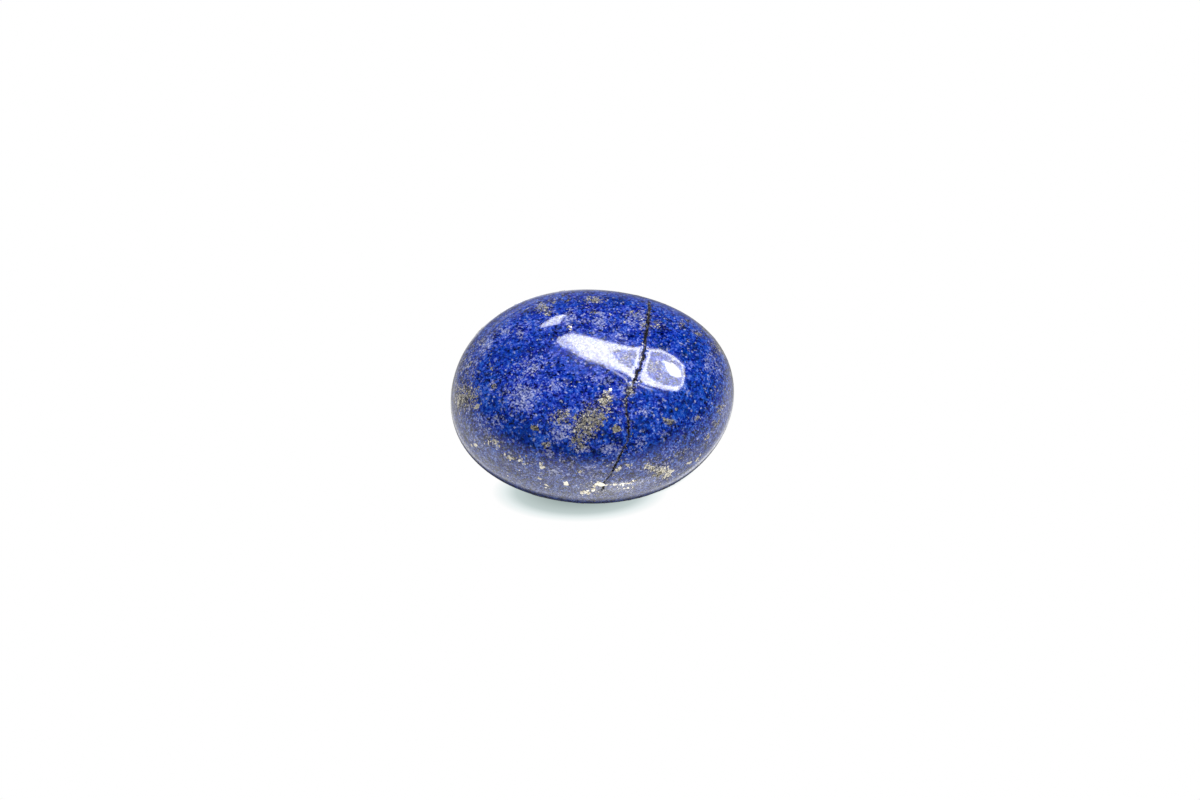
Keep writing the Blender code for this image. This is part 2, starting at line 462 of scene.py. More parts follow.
# %% Calcite
CALCITE_PATCHES = (
    (523, 397, 17, 15, 10, 0.8), (530, 369, 12, 7, 0, 0.6), (570, 319, 7, 9, 0, 0.8),
    (600, 320, 7, 9, 0, 0.85), (637, 318, 11, 10, 0, 0.7), (621, 337, 7, 8, 0, 0.6),
    (487, 345, 6, 12, 25, 0.7), (504, 331, 6, 6, 0, 0.55), (520, 333, 5, 8, 0, 0.5),
    (468, 366, 8, 14, 20, 0.5), (562, 434, 14, 9, -10, 0.75), (611, 449, 11, 6, 0, 0.85),
    (581, 449, 8, 5, 0, 0.7), (550, 453, 6, 4, 0, 0.6), (640, 443, 6, 6, 0, 0.85),
    (644, 412, 6, 5, 0, 0.6), (663, 433, 7, 3, 0, 0.6), (711, 364, 8, 12, -20, 0.6),
    (555, 386, 14, 8, 0, 0.5), (600, 380, 14, 6, 15, 0.62), (557, 470, 12, 6, 0, 0.5),
    (590, 473, 12, 7, 0, 0.5), (496, 420, 10, 8, 0, 0.45), (480, 425, 10, 10, 0, 0.5),
    (540, 356, 14, 7, 0, 0.35),
)
# The first two rows are no veins: they paint the pale streaks along the lower edge, a painted reflection of
# the lit card. The other three are calcite veins.
CALCITE_VEINS_AND_REFLECTION_STREAKS = (
    (624, 483, 19, 2.0, -5, 1.2), (623, 489, 11, 1.8, 8, 1.1), (566, 427, 8, 1.6, 8, 1.0),
    (634, 314, 6, 1.6, 25, 1.1), (543, 306.5, 7, 2.4, 12, 1.6),
)
calcite_and_reflection_spots = spots(CALCITE_PATCHES + CALCITE_VEINS_AND_REFLECTION_STREAKS)
paint("calcite_and_reflection_patch", np.maximum(calcite_and_reflection_spots, hidden_spots(count=50, seed=4, largest=1.8)))

# %% Deep blue
DEEP_PATCHES = (
    (494, 404, 9, 8, 20, 1.0), (524, 432, 19, 11, 35, 1.0), (564, 449, 12, 5, 25, 0.8),
    (590, 460, 11, 5, 10, 0.8), (652, 447, 9, 7, 0, 1.2), (684, 406, 14, 12, 0, 0.7),
    (645, 395, 12, 6, 0, 0.5), (510, 352, 16, 10, -20, 0.7), (560, 305, 16, 6, 0, 0.6),
    (500, 320, 12, 6, -35, 0.5), (690, 350, 18, 10, 30, 0.5), (640, 425, 8, 10, 0, 0.6),
    (603, 428, 6, 8, 0, 0.7), (720, 385, 8, 14, 0, 0.5), (616, 300, 18, 5, 5, 0.6),
    (717, 358, 3, 9, -20, 0.8), (697, 329, 7, 4, 35, 0.7),
)
paint("deep_patch", spots(DEEP_PATCHES) + hidden_spots(count=36, seed=5, largest=1.8))

# %% Heights, crack and base
SHOULDER_HEIGHT = 7.4
CROWN_DEPTH, FLANK_DEPTH = 1.4, 2.0
FILLING_RIM = 1.5
GRIT_WIDTHS, GRIT_REACH = 1.2, 0.12
BASE_SKIN = 0.03
GRIT_PATCHES = ((634, 390, 6, 5, 0, 0.8), (627, 399, 4, 6, 0, 0.6), (648, 330, 5, 7, 0, 0.7))

paint("high_up", ramp((smooth_points[:, 2] - SHOULDER_HEIGHT) / CROWN_DEPTH))
paint("flank", ramp((SHOULDER_HEIGHT - smooth_points[:, 2]) / FLANK_DEPTH))
paint("fissure", ramp(FILLING_RIM - across_groove))
beside_fissure = np.exp(-((fissure_gap / (GRIT_WIDTHS * fissure_half + GRIT_REACH)) ** 2))
paint("fissure_grit", np.maximum(beside_fissure, spots(GRIT_PATCHES)))
paint("ground_base", ramp((BASE_SKIN - smooth_points[:, 2]) / BASE_SKIN))

# %% [markdown]
# ## Node helpers
# Node trees built in code get long. One small function adds a node, sets its options and fills its
# sockets, either with a number or with a link from another node.

# %% Node helpers


def srgb(red, green, blue):
    """A colour as read off a screen, 0 to 255, made linear."""
    def linear(value):
        value /= 255
        return value / 12.92 if value <= 0.04045 else ((value + 0.055) / 1.055) ** 2.4
    return (linear(red), linear(green), linear(blue), 1.0)


def add(tree, kind, sockets=None, **options):
    """A new node with these options, whose sockets get a number or a link from another node."""
    made = tree.nodes.new("ShaderNode" + kind)
    for name, value in options.items():
        setattr(made, name, value)
    for name, value in (sockets or {}).items():
        if isinstance(value, bpy.types.NodeSocket):
            tree.links.new(value, made.inputs[name])
        else:
            made.inputs[name].default_value = value
    return made


def math_node(tree, operation, first, second):
    return add(tree, "Math", {0: first, 1: second}, operation=operation).outputs[0]


def plus(tree, first, second):
    return math_node(tree, "ADD", first, second)


def minus(tree, first, second):
    return math_node(tree, "SUBTRACT", first, second)


def times(tree, first, second):
    return math_node(tree, "MULTIPLY", first, second)


def mix_colour(tree, share, under, over):
    return add(tree, "Mix", {0: share, 6: under, 7: over}, data_type="RGBA").outputs[2]


def stretch(tree, value, low, high, to_low=0.0, to_high=1.0):
    """A value's range of low to high made into another range, and kept inside it."""
    sockets = {"Value": value, "From Min": low, "From Max": high, "To Min": to_low, "To Max": to_high}
    return add(tree, "MapRange", sockets, clamp=True).outputs[0]


def painted(tree, name):
    """The number that the mesh's corners keep under this name."""
    return add(tree, "Attribute", attribute_name=name).outputs["Fac"]


def place_in_mm(tree):
    """The spot on the piece itself, in millimetres, so that a texture stays with the piece."""
    place = add(tree, "TexCoord").outputs["Object"]
    return add(tree, "VectorMath", {0: place, 3: 1 / MM}, operation="SCALE").outputs[0]


def new_material(name):
    """A new material, its node tree and its main shader."""
    material = bpy.data.materials.new(name)
    material.use_nodes = True
    return material, material.node_tree, material.node_tree.nodes["Principled BSDF"]


def new_group(name, inputs, outputs):
    """An empty node group with named sockets, and its input and output nodes."""
    group = bpy.data.node_groups.new(name, "ShaderNodeTree")
    for label, kind, value in inputs:
        socket = group.interface.new_socket(label, in_out="INPUT", socket_type=kind)
        if value is not None:
            socket.default_value = value
    for label, kind in outputs:
        group.interface.new_socket(label, in_out="OUTPUT", socket_type=kind)
    return group, group.nodes.new("NodeGroupInput"), group.nodes.new("NodeGroupOutput")


def place_group(tree, group, sockets):
    """A group placed in a tree: its first output."""
    return add(tree, "Group", sockets, node_tree=group).outputs[0]


print("a screen's middle grey is", round(srgb(128, 128, 128)[0], 3), "in linear light")


# %% [markdown]
# ## Grains
# Everything in the stone is made of grains a tenth of a millimetre wide, so the same grain pattern is
# needed for the blue, for the rock and for the edges of every patch. A Voronoi texture gives each grain
# its own random number. Its cells are too straight on their own, so the position is first pushed about
# by a fine noise.

# %% Grain group
FLOAT, COLOUR, VECTOR = "NodeSocketFloat", "NodeSocketColor", "NodeSocketVector"


def build_grains():
    group, into, out = new_group(
        "grains",
        [("Position", VECTOR, None), ("Grains per mm", FLOAT, 6.0), ("Ragged", FLOAT, 0.1)],
        [("Tone", FLOAT)],
    )
    push = add(group, "TexNoise", {"Vector": into.outputs["Position"], "Scale": 7.0, "Detail": 2.0})
    middle = (0.5, 0.5, 0.5)
    centred = add(group, "VectorMath", {0: push.outputs["Color"], 1: middle}, operation="SUBTRACT")
    ragged = into.outputs["Ragged"]
    pushed = add(group, "VectorMath", {0: centred.outputs[0], 3: ragged}, operation="SCALE")
    place = add(group, "VectorMath", {0: into.outputs["Position"], 1: pushed.outputs[0]}, operation="ADD")
    cells = add(group, "TexVoronoi", {"Vector": place.outputs[0], "Scale": into.outputs["Grains per mm"]})
    tone = add(group, "SeparateColor", {"Color": cells.outputs["Color"]}).outputs[0]
    group.links.new(tone, out.inputs["Tone"])
    return group


grains = build_grains()
print("group:", grains.name)


def grain_tone(tree, place, per_mm, ragged):
    """The grain pattern placed in a tree: each grain's own number."""
    return place_group(tree, grains, {"Position": place, "Grains per mm": per_mm, "Ragged": ragged})


def cloud(tree, place, scale, detail, roughness):
    """A soft noise, 0 to 1."""
    sockets = {"Vector": place, "Scale": scale, "Detail": detail, "Roughness": roughness}
    return add(tree, "TexNoise", sockets).outputs["Fac"]


# %% [markdown]
# ## Broken patches
# A painted spot has a soft edge, and a mineral patch doesn't: it breaks up into grains that get
# rarer outward. A lump noise bends the patch's shape, each grain's own number decides whether it still
# belongs, and the sum is cut at a threshold. The calcite, the rock and the grit beside the crack all use
# it, each with values of its own.

# %% Broken patch group
def weighted(tree, value, weight):
    """A noise of 0 to 1 as a swing about zero."""
    return times(tree, minus(tree, value, 0.5), weight)


def build_broken_patch():
    group, into, out = new_group(
        "broken_patch",
        [("Position", VECTOR, None), ("Spot", FLOAT, 0.0), ("Grains per mm", FLOAT, 6.0),
         ("Lumps", FLOAT, 0.8), ("Sprinkle", FLOAT, 0.6), ("Threshold", FLOAT, 0.5), ("Edge", FLOAT, 0.2)],
        [("Mask", FLOAT)],
    )
    position = into.outputs["Position"]
    lump = cloud(group, position, scale=2.4, detail=4.0, roughness=0.65)
    grain = grain_tone(group, position, into.outputs["Grains per mm"], ragged=0.12)
    lumpy = weighted(group, lump, into.outputs["Lumps"])
    grainy = weighted(group, grain, into.outputs["Sprinkle"])
    total = plus(group, plus(group, into.outputs["Spot"], lumpy), grainy)
    over = minus(group, total, into.outputs["Threshold"])
    mask = math_node(group, "DIVIDE", over, into.outputs["Edge"])
    limited = add(group, "Clamp", {"Value": plus(group, mask, 0.5)}).outputs[0]
    group.links.new(limited, out.inputs["Mask"])
    return group


broken_patch = build_broken_patch()
print("group:", broken_patch.name)

# %% [markdown]
# ## Mottled blue
# Close up, the blue isn't even: navy and royal grains sit side by side with lilac specks between. One
# noise with a few colours would look like marbled paper, so two sizes of grain and two of cloud are
# added to one tone. Two colour ramps, one cobalt and one violet, turn it into the colours of lazurite, and a
# third cloud chooses between them. Deep patches are darker and less violet, and a few grains are pale
# or dark specks.

# %% Mottled blue group
COBALT_TONES = (
    (0.05, srgb(0, 24, 84)),
    (0.26, srgb(0, 46, 138)),
    (0.46, srgb(0, 66, 194)),
    (0.64, srgb(34, 96, 216)),
    (0.80, srgb(92, 132, 222)),
    (1.00, srgb(190, 204, 238)),
)
VIOLET_TONES = (
    (0.05, srgb(2, 12, 90)),
    (0.26, srgb(14, 30, 144)),
    (0.46, srgb(34, 48, 188)),
    (0.64, srgb(66, 80, 206)),
    (0.80, srgb(118, 122, 220)),
    (1.00, srgb(200, 200, 238)),
)
DEEP_BLUE = srgb(0, 58, 172)
PALE_SPECK = srgb(196, 200, 230)
DARK_SPECK = srgb(6, 10, 34)
MIDDLE_TONE, MIDDLE_VIOLET = 0.42, 0.08
BROAD_CLOUD, MIDDLE_CLOUD, HUE_CLOUD = 1.05, 1.1, 2.2
COARSE_GRAIN, FINE_GRAIN, HUE_GRAIN = 0.38, 0.2, 0.5
HIGH_VIOLET = 0.34
DEEP_DARKER, DEEP_LESS_VIOLET, DEEP_COVER = 0.09, 0.4, 0.35
PALE_SPECKS, DARK_SPECKS = (0.965, 0.985, 0.0, 0.55), (0.07, 0.04, 0.0, 0.8)


def ramp_node(tree, tone, stops):
    """A colour ramp with these stops, as pairs of place and colour."""
    made = add(tree, "ValToRGB", {"Fac": tone})
    line = made.color_ramp
    while len(line.elements) < len(stops):
        line.elements.new(0.5)
    for element, (place, colour) in zip(line.elements, stops):
        element.position = place
        element.color = colour
    return made.outputs["Color"]


def build_mottled_blue():
    group, into, out = new_group(
        "mottled_blue",
        [("Position", VECTOR, None), ("Deep", FLOAT, 0.0), ("Violet", FLOAT, 0.0)],
        [("Colour", COLOUR)],
    )
    position, deep = into.outputs["Position"], into.outputs["Deep"]
    coarse = grain_tone(group, position, per_mm=5.5, ragged=0.2)
    tone = MIDDLE_TONE
    for texture, weight in (
        (cloud(group, position, scale=1.1, detail=5.0, roughness=0.6), BROAD_CLOUD),
        (cloud(group, position, scale=3.6, detail=3.0, roughness=0.6), MIDDLE_CLOUD),
        (coarse, COARSE_GRAIN),
        (grain_tone(group, position, per_mm=11.0, ragged=0.1), FINE_GRAIN),
    ):
        tone = plus(group, tone, weighted(group, texture, weight))
    tone = minus(group, tone, times(group, deep, DEEP_DARKER))
    hue = cloud(group, position, scale=1.9, detail=4.0, roughness=0.7)
    violet = plus(group, MIDDLE_VIOLET, weighted(group, hue, HUE_CLOUD))
    violet = plus(group, violet, weighted(group, coarse, HUE_GRAIN))
    violet = plus(group, violet, times(group, into.outputs["Violet"], HIGH_VIOLET))
    violet = minus(group, violet, times(group, deep, DEEP_LESS_VIOLET))
    violet = add(group, "Clamp", {"Value": violet}).outputs[0]
    cobalt = ramp_node(group, tone, COBALT_TONES)
    colour = mix_colour(group, violet, cobalt, ramp_node(group, tone, VIOLET_TONES))
    colour = mix_colour(group, times(group, deep, DEEP_COVER), colour, DEEP_BLUE)
    speck = grain_tone(group, position, per_mm=7.5, ragged=0.1)
    colour = mix_colour(group, stretch(group, speck, *PALE_SPECKS), colour, PALE_SPECK)
    colour = mix_colour(group, stretch(group, speck, *DARK_SPECKS), colour, DARK_SPECK)
    group.links.new(colour, out.inputs["Colour"])
    return group


mottled_blue = build_mottled_blue()
print("group:", mottled_blue.name)

# %% [markdown]
# ## The polished stone's material
# From below upward: mottled blue, calcite haze with two pale streaks along the lower edge that are a
# painted reflection, grey-brown rock, grit beside the crack and the crack's dark filling. The layers
# could be separate materials on separate faces, but grains are smaller than any
# face, so masks mix them in one. Calcite and rock take the polish a little worse than lazurite and are
# rougher, and so are the crack and the ground base. Each grain is also a little lighter or darker than
# its neighbours, stands a few thousandths of a millimetre high or low, and takes the clear polish, the
# coat, more or less well.

# %% Stone material
CALCITE_AND_REFLECTION_TONES = (
    (0.0, srgb(84, 100, 178)),
    (0.5, srgb(128, 140, 200)),
    (1.0, srgb(196, 200, 230)),
)
ROCK_TONES = (
    (0.0, srgb(18, 22, 36)),
    (0.3, srgb(50, 54, 66)),
    (0.5, srgb(88, 90, 92)),
    (0.66, srgb(140, 136, 122)),
    (0.82, srgb(206, 198, 178)),
    (1.0, srgb(250, 244, 230)),
)
CRACK_TONES = (
    (0.0, srgb(6, 6, 8)),
    (0.7, srgb(24, 22, 22)),
    (0.9, srgb(76, 70, 64)),
    (1.0, srgb(180, 172, 160)),
)
CALCITE = {"Grains per mm": 9.0, "Lumps": 1.5, "Sprinkle": 0.7, "Threshold": 0.66, "Edge": 0.7}
ROCK = {"Grains per mm": 8.0, "Lumps": 1.3, "Sprinkle": 0.5, "Threshold": 0.64, "Edge": 0.6}
GRIT = {"Grains per mm": 12.0, "Lumps": 1.0, "Sprinkle": 1.0, "Threshold": 0.85, "Edge": 0.25}
CALCITE_AND_REFLECTION_COVER, ROCK_COVER, GRIT_COVER = 0.85, 0.92, 0.8
FINE_SHARE, TINY_SHARE = 0.6, 0.4
GRAIN_SWING, DEEP_CALM, FLANK_SWING = 0.38, 0.2, 0.4
EYE_GAMMA = 2.2
GRAIN_HEIGHT = 0.004
EVEN_ROUGHNESS = 0.02
ROCK_ROUGHER, CALCITE_ROUGHER, CRACK_ROUGHER, BASE_ROUGHER = 0.12, 0.03, 0.5, 0.35
POLISH = (0.3, 0.7, 0.3, 1.0)


def grain_lit(tree, colour, tone, swing):
    """The colour with every grain a little lighter or darker by the same step as the eye sees it."""
    by_eye = add(tree, "Gamma", {"Color": colour, "Gamma": 1 / EYE_GAMMA}).outputs[0]
    step = add(tree, "CombineXYZ", {axis: weighted(tree, tone, swing) for axis in "XYZ"}).outputs[0]
    moved = add(tree, "VectorMath", {0: by_eye, 1: step}, operation="ADD").outputs[0]
    kept = add(tree, "VectorMath", {0: moved, 1: (0.0, 0.0, 0.0)}, operation="MAXIMUM").outputs[0]
    return add(tree, "Gamma", {"Color": kept, "Gamma": EYE_GAMMA}).outputs[0]


def broken(tree, place, spot, mineral):
    """The mask of a painted spot broken up into this mineral's grains."""
    own = {"Position": place, "Spot": painted(tree, spot)}
    return place_group(tree, broken_patch, {**own, **mineral})


def stone_material():
    material, tree, shader = new_material("polished_lapis")
    place = place_in_mm(tree)
    deep = painted(tree, "deep_patch")
    fine = grain_tone(tree, place, per_mm=9.0, ragged=0.12)
    tiny = grain_tone(tree, place, per_mm=15.0, ragged=0.06)
    mixed = plus(tree, times(tree, fine, FINE_SHARE), times(tree, tiny, TINY_SHARE))
    # The calcite mask also carries the two pale streaks of painted reflection along the lower edge.
    calcite_and_reflection = broken(tree, place, "calcite_and_reflection_patch", CALCITE)
    rock = broken(tree, place, "rock_patch", ROCK)
    grit = broken(tree, place, "fissure_grit", GRIT)
    crack = painted(tree, "fissure")
    colour = place_group(tree, mottled_blue, {
        "Position": place, "Deep": deep, "Violet": painted(tree, "high_up"),
    })
    for mask, cover, tone, tones in (
        (calcite_and_reflection, CALCITE_AND_REFLECTION_COVER, mixed, CALCITE_AND_REFLECTION_TONES),
        (rock, ROCK_COVER, mixed, ROCK_TONES),
        (grit, GRIT_COVER, tiny, CRACK_TONES),
        (crack, 1.0, fine, CRACK_TONES),
    ):
        colour = mix_colour(tree, times(tree, mask, cover), colour, ramp_node(tree, tone, tones))
    swing = minus(tree, GRAIN_SWING, times(tree, DEEP_CALM, deep))
    swing = plus(tree, swing, times(tree, FLANK_SWING, painted(tree, "flank")))
    tree.links.new(grain_lit(tree, colour, mixed, swing), shader.inputs["Base Color"])
    roughness = EVEN_ROUGHNESS
    for mask, rougher in (
        (rock, ROCK_ROUGHER), (calcite_and_reflection, CALCITE_ROUGHER), (crack, CRACK_ROUGHER),
        (painted(tree, "ground_base"), BASE_ROUGHER),
    ):
        roughness = plus(tree, roughness, times(tree, mask, rougher))
    tree.links.new(roughness, shader.inputs["Roughness"])
    bump = add(tree, "Bump", {"Strength": 0.2, "Distance": GRAIN_HEIGHT * MM, "Height": mixed})
    tree.links.new(bump.outputs[0], shader.inputs["Normal"])
    tree.links.new(stretch(tree, mixed, *POLISH), shader.inputs["Coat Weight"])
    shader.inputs["Coat Roughness"].default_value = 0.03
    shader.inputs["Coat IOR"].default_value = 1.6
    shader.inputs["IOR"].default_value = 1.65
    return material


stone_mesh.materials.append(stone_material())
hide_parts("lapis_stone")
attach(stone, "root")
print("the stone wears", stone_mesh.materials[0].name)

# %% [markdown]
# ## Pyrite grains
# Pyrite grows as small gold crystals, and the polish cuts them flush with the blue. Painted dots
# would do from far off, but these catch the light as flat metal, each leaning its own way, so they
# are thin closed flakes of five to eight corners, sunk into the surface and all joined in one mesh. A
# cluster is given as a spot is, but it ends with its number of grains and their radius in millimetres.

# %% Pyrite clusters
PYRITE_CLUSTERS = (
    (464, 396, 12, 14, 35, 110, 0.08), (477, 407, 4, 3, -30, 7, 0.14), (457.5, 402.5, 2, 2, 0, 3, 0.13),
    (474, 444, 4, 2.5, 40, 6, 0.11), (491, 440, 9, 4, 15, 22, 0.08), (496, 449, 1, 1, 0, 1, 0.12),
    (511, 458, 5, 3, 10, 14, 0.09), (522, 460, 5, 4, 20, 12, 0.09), (540, 465, 3.5, 2, 35, 6, 0.14),
    (538, 478, 3, 1.2, 20, 4, 0.10), (548, 487, 5, 1.2, 30, 5, 0.09), (567, 484, 4, 2, 25, 6, 0.12),
    (580, 472, 3, 3, 0, 5, 0.09), (587, 492, 7, 1.6, -15, 14, 0.15), (598, 484, 4, 2.5, -25, 9, 0.15),
    (618, 469, 2.5, 1.8, -40, 6, 0.13), (629, 465, 3, 1.5, 0, 5, 0.09), (650, 467, 6, 4, 10, 40, 0.075),
    (663, 471, 9, 4, -5, 60, 0.085), (668, 475, 6, 2.5, -25, 30, 0.09), (670, 457, 1, 1, 0, 2, 0.10),
    (689, 463, 2.5, 1, 0, 4, 0.12), (698, 458, 1.6, 4.5, 25, 9, 0.12),
    (707, 437, 1.2, 3.5, 40, 6, 0.12), (717, 424, 1.5, 5, 30, 7, 0.09),
    (720, 410, 2.5, 5, 20, 12, 0.10), (544, 306, 6, 2.5, 12, 16, 0.10),
    (555, 301, 3, 1.5, -20, 5, 0.08), (595, 300, 9, 3, 0, 26, 0.07), (593, 312, 3, 1, 10, 5, 0.10),
    (549, 314, 3, 2, 0, 4, 0.08), (568.5, 301, 1, 1, 0, 2, 0.09), (600, 417, 8, 20, 30, 120, 0.07),
    (584, 425, 9, 16, 25, 90, 0.07), (562, 415, 9, 6, 0, 45, 0.07), (606, 397, 5, 8, 20, 45, 0.085),
    (578, 442, 6, 5, 0, 30, 0.07), (618, 429, 3.5, 2.5, 10, 14, 0.10), (547, 445, 3.5, 3, 0, 14, 0.08),
    (534, 428, 2.5, 2, 0, 7, 0.08), (669, 421, 4, 3, 0, 14, 0.08), (677, 409, 1, 0.8, 0, 2, 0.10),
    (697, 418, 4, 3, 0, 8, 0.06), (493, 385, 3, 3, 0, 8, 0.07), (491, 366, 4, 4, 0, 8, 0.06),
    (656, 325, 4, 2.5, 0, 12, 0.08), (643, 326, 3, 3, 0, 10, 0.08), (682, 324, 3, 2, 0, 8, 0.06),
    (698, 334, 4, 1.2, 20, 8, 0.07), (635, 314, 4, 2, 25, 12, 0.08), (625, 322, 1, 1, 0, 2, 0.08),
    (610.6, 313.7, 0.7, 0.7, 0, 1, 0.09), (718, 348, 2, 7, -40, 16, 0.07), (569, 327, 3, 2, 0, 8, 0.07),
    (715, 387, 0.8, 2, 0, 3, 0.08), (593, 389, 1, 2, 0, 3, 0.05), (620, 484, 9, 0.9, -4, 26, 0.075),
    (634, 481, 5, 0.7, -20, 12, 0.07), (628, 488, 8, 1.2, 0, 12, 0.06), (470, 366, 4, 8, 20, 14, 0.07),
)
FLAKE_THICKNESS = 0.02
FLAKE_PROUD = 0.004
FLAKE_LEAN = 0.05
FLAKE_CORNERS = 5, 9
FLAKE_STRETCH = 1.0, 1.9
CORNER_SHIFT, CORNER_REACH = (-0.25, 0.25), (0.6, 1.15)
FISSURE_MARGIN = 0.05
CLUSTER_SPREAD = 0.55
CLUSTER_SIZES, SCATTERED_SIZES, HIDDEN_SIZES = (-0.25, 0.4), (0, 0.35), (0, 0.4)


def flake(spot, outward, radius, rng):
    """One flat crystal: its corners in two rings, upper and lower."""
    along = unit(np.cross(outward, unit(rng.normal(size=3))))
    across = np.cross(outward, along)
    corners = int(rng.integers(*FLAKE_CORNERS))
    stretched = rng.uniform(*FLAKE_STRETCH)
    angles = np.linspace(0, 2 * np.pi, corners, endpoint=False) + rng.uniform(*CORNER_SHIFT, corners)
    reach = radius * rng.uniform(*CORNER_REACH, corners)
    lean = rng.normal(0, FLAKE_LEAN, 2)
    first = np.cos(angles) * reach * math.sqrt(stretched)
    second = np.sin(angles) * reach / math.sqrt(stretched)
    height = FLAKE_PROUD + first * lean[0] + second * lean[1]
    flat = spot + first[:, None] * along + second[:, None] * across
    return flat + height[:, None] * outward, flat - FLAKE_THICKNESS * outward


def cluster_spots(rng):
    """Every grain that a cluster asks for: its spot, outward direction and radius."""
    for x, y, half_width, half_height, turn, count, radius in PYRITE_CLUSTERS:
        cosine, sine = math.cos(math.radians(turn)), math.sin(math.radians(turn))
        for _ in range(count):
            first, second = rng.normal(0, CLUSTER_SPREAD, 2) * (half_width, half_height)
            across, down = first * cosine - second * sine, first * sine + second * cosine
            spot, outward = meet_stone(x + across, y + down)
            size = radius * rng.lognormal(*CLUSTER_SIZES)
            if spot is not None:
                yield spot, outward, size


SCATTERED_GRAINS, SCATTERED_RADIUS = 500, 0.035
HIDDEN_CLUSTERS, HIDDEN_RADIUS = 70, 0.07
HIDDEN_REACH, HIDDEN_GRAINS = (0.15, 0.8), (6, 30)
HIDDEN_LOWEST, LOWEST_GRAIN = 0.05, 0.02


def scattered_spots(rng):
    """Lone small grains all over, and clusters of them on the side away from the camera."""
    for corner in rng.integers(len(smooth_points), size=SCATTERED_GRAINS):
        size = SCATTERED_RADIUS * rng.lognormal(*SCATTERED_SIZES)
        yield smooth_points[corner], smooth_normals[corner], size
    hidden = np.flatnonzero((seen < 0.5) & (smooth_points[:, 2] > HIDDEN_LOWEST))
    for _ in range(HIDDEN_CLUSTERS):
        middle = smooth_points[hidden[rng.integers(len(hidden))]]
        spread = rng.uniform(*HIDDEN_REACH)
        near = hidden[np.linalg.norm(smooth_points[hidden] - middle, axis=1) < spread]
        for corner in rng.choice(near, size=min(len(near), int(rng.integers(*HIDDEN_GRAINS)))):
            size = HIDDEN_RADIUS * rng.lognormal(*HIDDEN_SIZES)
            yield smooth_points[corner], smooth_normals[corner], size


def build_pyrite():
    rng = np.random.default_rng(21)
    corners, faces, tones = [], [], []
    wanted = list(cluster_spots(rng)) + list(scattered_spots(rng))
    places = np.array([spot for spot, _, _ in wanted])
    gaps, halves = distance_to_line(places, fissure_places, fissure_halves)
    for (spot, outward, radius), gap, half in zip(wanted, gaps, halves):
        if gap < half + FISSURE_MARGIN or spot[2] < LOWEST_GRAIN:
            continue
        upper, lower = flake(spot, outward, radius, rng)
        start, count = len(corners), len(upper)
        corners.extend(upper)
        corners.extend(lower)
        faces.append(tuple(start + i for i in range(count)))
        faces.append(tuple(start + count + i for i in reversed(range(count))))
        for i in range(count):
            after = (i + 1) % count
            faces.append((start + i, start + count + i, start + count + after, start + after))
        tones.extend([rng.uniform()] * (2 * count))
    mesh = bpy.data.meshes.new("pyrite_grains")
    mesh.from_pydata([Vector(corner) * MM for corner in corners], [], faces)
    store(mesh, "grain_tone", tones)
    print(f"{len(tones)} corners in the pyrite grains, {len(faces)} faces")
    return show("pyrite_grains", mesh)


pyrite = build_pyrite()

# %% [markdown]
# ## The pyrite's material
# Pyrite is the only metal here. Pure metal would be black wherever the room is dark, and the real
# grains are tarnished, so part of the light is scattered as on a dull face. A darker or lighter number
# kept for each flake, with a finer pattern of tarnish on it, tells neighbouring grains apart.

# %% Pyrite material
FLAKE_SHARE, TARNISH_SHARE = 0.7, 0.3
PYRITE_ROUGHNESS = 0.15, 0.35
PYRITE_TONES = (
    (0.0, srgb(44, 42, 42)),
    (0.2, srgb(130, 124, 110)),
    (0.4, srgb(238, 230, 208)),
    (1.0, srgb(255, 252, 240)),
)


def pyrite_material():
    material, tree, shader = new_material("pyrite")
    tarnish = grain_tone(tree, place_in_mm(tree), per_mm=16.0, ragged=0.05)
    own_tone = times(tree, painted(tree, "grain_tone"), FLAKE_SHARE)
    tone = plus(tree, own_tone, times(tree, tarnish, TARNISH_SHARE))
    tree.links.new(ramp_node(tree, tone, PYRITE_TONES), shader.inputs["Base Color"])
    roughness = stretch(tree, tarnish, 0.0, 1.0, *PYRITE_ROUGHNESS)
    tree.links.new(roughness, shader.inputs["Roughness"])
    shader.inputs["Metallic"].default_value = 0.7
    bump = add(tree, "Bump", {"Strength": 0.3, "Distance": GRAIN_HEIGHT * MM, "Height": tarnish})
    tree.links.new(bump.outputs[0], shader.inputs["Normal"])
    return material


pyrite.data.materials.append(pyrite_material())
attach(pyrite, "root")
print("the grains wear", pyrite.data.materials[0].name)

# %% [markdown]
# ## Floor
# The stone lies on white card that is lit until it burns out to pure white, and only the strip under
# the overhang keeps some grey. A brighter lamp would burn out the stone's edge as well, so the card is
# plain white for the camera, with two soft ovals of shade: one round the flat base, and one in front,
# where neither the left nor the right light of the studio reaches. For all other rays it is matt.

# %% Floor
FLOOR_RADIUS = 900.0
MATT_GREY = (0.4, 0.4, 0.4, 1.0)
SHADE_TONES = (
    (0.0, srgb(112, 126, 126)),
    (0.45, srgb(164, 178, 176)),
    (0.72, srgb(194, 207, 206)),
    (0.86, srgb(232, 240, 240)),
    (1.0, srgb(255, 255, 255)),
)
SHADE_HEART = 0.82
BASE_SHADE = (0.0, 0.0), (8.8, 7.04)
FRONT_SHADE = (-0.95, -5.6), (6.2, 2.55)


